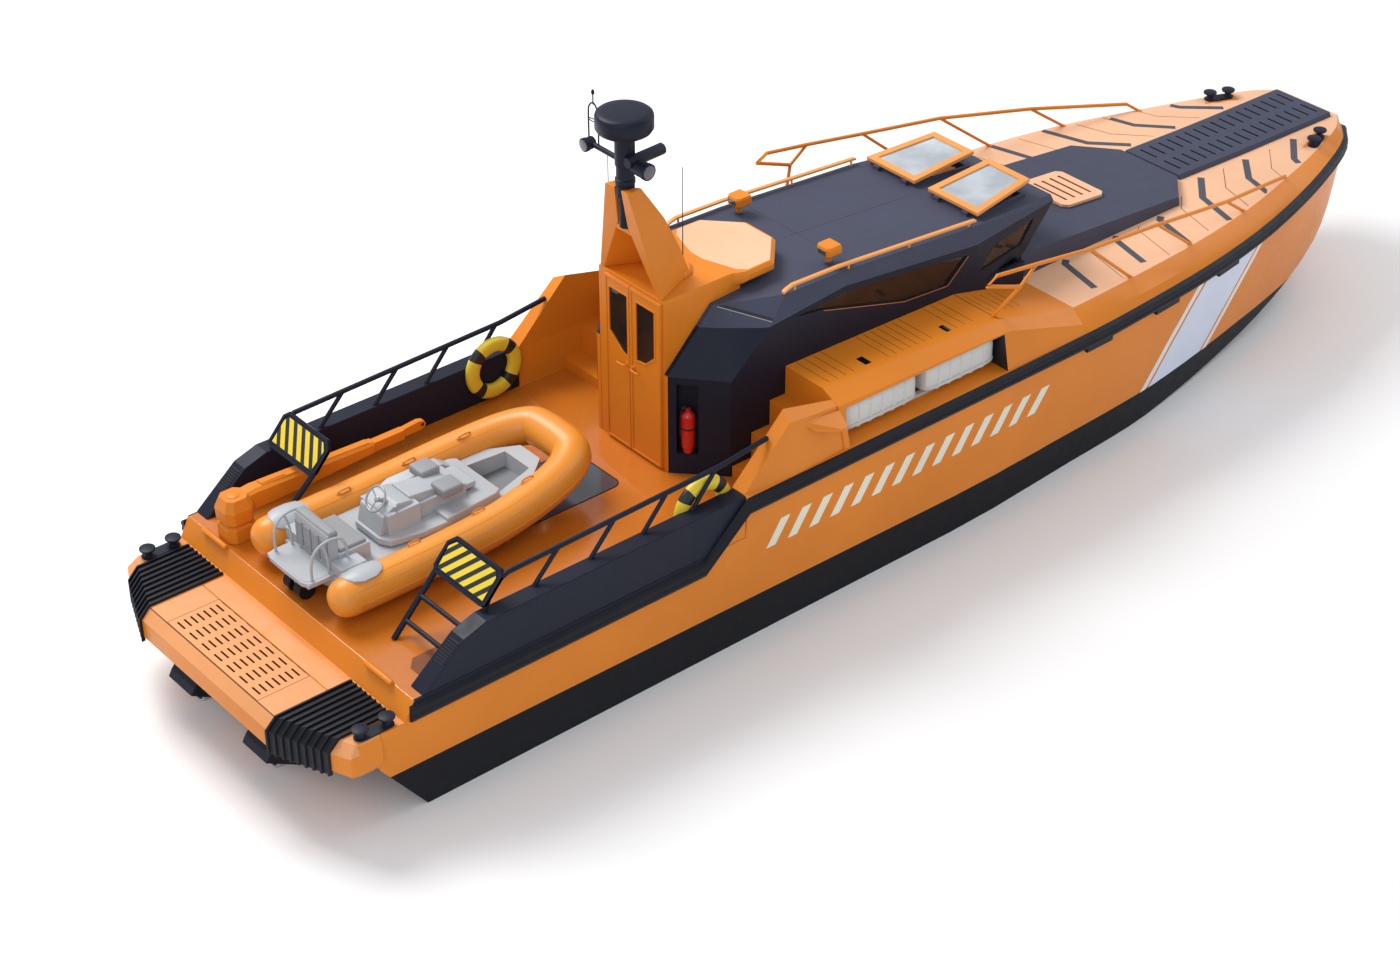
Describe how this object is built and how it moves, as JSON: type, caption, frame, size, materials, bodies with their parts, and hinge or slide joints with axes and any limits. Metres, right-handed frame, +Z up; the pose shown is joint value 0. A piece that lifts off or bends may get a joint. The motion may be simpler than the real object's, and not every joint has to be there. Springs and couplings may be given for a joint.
{
  "type": "fast offshore search and rescue vessel",
  "caption": "Fast decked rescue vessel with a wheelhouse, A-frame mast, waterjets, deck crane and a tender stowed on its open aft deck.",
  "frame": {"origin": "on the centreline amidships, at the waterline", "axes": "+X forward to the bow, +Y to port, +Z up"},
  "size_m": [16.9738, 4.3012, 6.27],
  "materials": {
    "orange_paint": "satin orange paint, with the band below the waterline in near-black",
    "navy_paint": "matte dark navy paint with a fine non-slip grain",
    "black_rubber": "black rubber",
    "raft_shell": "white ribbed glass-fibre shell",
    "grey_moulding": "light grey moulding",
    "tube_fabric": "orange coated fabric, air-filled",
    "red_paint": "glossy red paint",
    "ring_shell": "yellow and black foam ring cover",
    "window_glass": "tinted glass",
    "seat_cover": "stitched orange seat cover",
    "bare_metal": "brushed stainless steel"
  },
  "bodies": {
    "vessel": {"hull": "orange_paint", "rub_rail": "black_rubber", "swim_platform": "orange_paint", "foredeck_trunk": "navy_paint", "bow_walkway": "navy_paint", "wheelhouse": "navy_paint", "wheelhouse_roof": "navy_paint", "windscreen": "window_glass", "helm_console": "navy_paint", "door_housing": "orange_paint", "mast_frame": "orange_paint", "mast_head": "navy_paint", "crane_pedestal": "orange_paint", "crane_boom": "orange_paint", "tender_tubes": "tube_fabric", "tender_hull": "grey_moulding", "platform_mat_port": "black_rubber", "stern_bollard_port": "navy_paint", "bow_bollard_port": "navy_paint", "bulwark_port": "navy_paint", "aft_rail_port": "navy_paint", "side_deck_port": "orange_paint", "life_rafts_port": "raft_shell", "roof_rail_port": "orange_paint", "fore_rail_port": "orange_paint", "extinguisher_port": "red_paint", "life_ring_port": "ring_shell", "jet_housing_port": "navy_paint", "side_window_port": "window_glass", "helm_seat_port": "seat_cover", "platform_mat_starboard": "black_rubber", "stern_bollard_starboard": "navy_paint", "bow_bollard_starboard": "navy_paint", "bulwark_starboard": "navy_paint", "aft_rail_starboard": "navy_paint", "side_deck_starboard": "orange_paint", "life_rafts_starboard": "raft_shell", "roof_rail_starboard": "orange_paint", "fore_rail_starboard": "orange_paint", "extinguisher_starboard": "red_paint", "life_ring_starboard": "ring_shell", "jet_housing_starboard": "navy_paint", "side_window_starboard": "window_glass", "helm_seat_starboard": "seat_cover"},
    "door_leaf_port": {"door_port": "orange_paint"},
    "door_leaf_starboard": {"door_starboard": "orange_paint"},
    "roof_lid_port": {"roof_hatch_port": "orange_paint"},
    "roof_lid_starboard": {"roof_hatch_starboard": "orange_paint"},
    "foredeck_lid": {"foredeck_hatch": "orange_paint"},
    "crane_inner_boom": {"crane_extension": "orange_paint"},
    "tender_wheel_set": {"tender_wheels": "black_rubber"},
    "nozzle_port": {"jet_nozzle_port": "navy_paint"},
    "nozzle_starboard": {"jet_nozzle_starboard": "navy_paint"},
    "bucket_port": {"jet_bucket_port": "navy_paint"},
    "bucket_starboard": {"jet_bucket_starboard": "navy_paint"}
  },
  "joints": [
    {"name": "door_port_hinge", "type": "hinge", "parent": "vessel", "child": "door_leaf_port", "pos_m": [-3.0153, 0.415, 1.42], "axis": [0, 0, -1], "range_deg": [0, 110]},
    {"name": "door_starboard_hinge", "type": "hinge", "parent": "vessel", "child": "door_leaf_starboard", "pos_m": [-3.0153, -0.525, 1.42], "axis": [0, 0, 1], "range_deg": [0, 110]},
    {"name": "roof_hatch_port_hinge", "type": "hinge", "parent": "vessel", "child": "roof_lid_port", "pos_m": [1.27, 0, 3.168], "axis": [0, -1, 0], "range_deg": [-8, 55]},
    {"name": "roof_hatch_starboard_hinge", "type": "hinge", "parent": "vessel", "child": "roof_lid_starboard", "pos_m": [1.27, 0, 3.168], "axis": [0, -1, 0], "range_deg": [-8, 55]},
    {"name": "foredeck_hatch_hinge", "type": "hinge", "parent": "vessel", "child": "foredeck_lid", "pos_m": [3.33, 0, 2.3364], "axis": [0, -1, 0], "range_deg": [0, 80]},
    {"name": "crane_boom_slide", "type": "slide", "parent": "vessel", "child": "crane_inner_boom", "axis": [1, 0, 0], "range_m": [0, 0.7]},
    {"name": "tender_wheels_spin", "type": "hinge", "parent": "vessel", "child": "tender_wheel_set", "pos_m": [-7.26, 0.13, 1.506], "axis": [0, 1, 0], "continuous": true},
    {"name": "jet_steering_port", "type": "hinge", "parent": "vessel", "child": "nozzle_port", "pos_m": [-7.92, 0.7, 0.3], "axis": [0, 0, 1], "range_deg": [-25, 25]},
    {"name": "reverse_bucket_port", "type": "hinge", "parent": "nozzle_port", "child": "bucket_port", "pos_m": [-8.07, 0.7, 0.3], "axis": [0, -1, 0], "range_deg": [0, 55]},
    {"name": "jet_steering_starboard", "type": "hinge", "parent": "vessel", "child": "nozzle_starboard", "pos_m": [-7.92, -0.7, 0.3], "axis": [0, 0, 1], "range_deg": [-25, 25]},
    {"name": "reverse_bucket_starboard", "type": "hinge", "parent": "nozzle_starboard", "child": "bucket_starboard", "pos_m": [-8.07, -0.7, 0.3], "axis": [0, -1, 0], "range_deg": [0, 55]}
  ],
  "couplings": [
    {"joint": "jet_steering_starboard", "follows": "jet_steering_port", "ratio": 1}
  ]
}
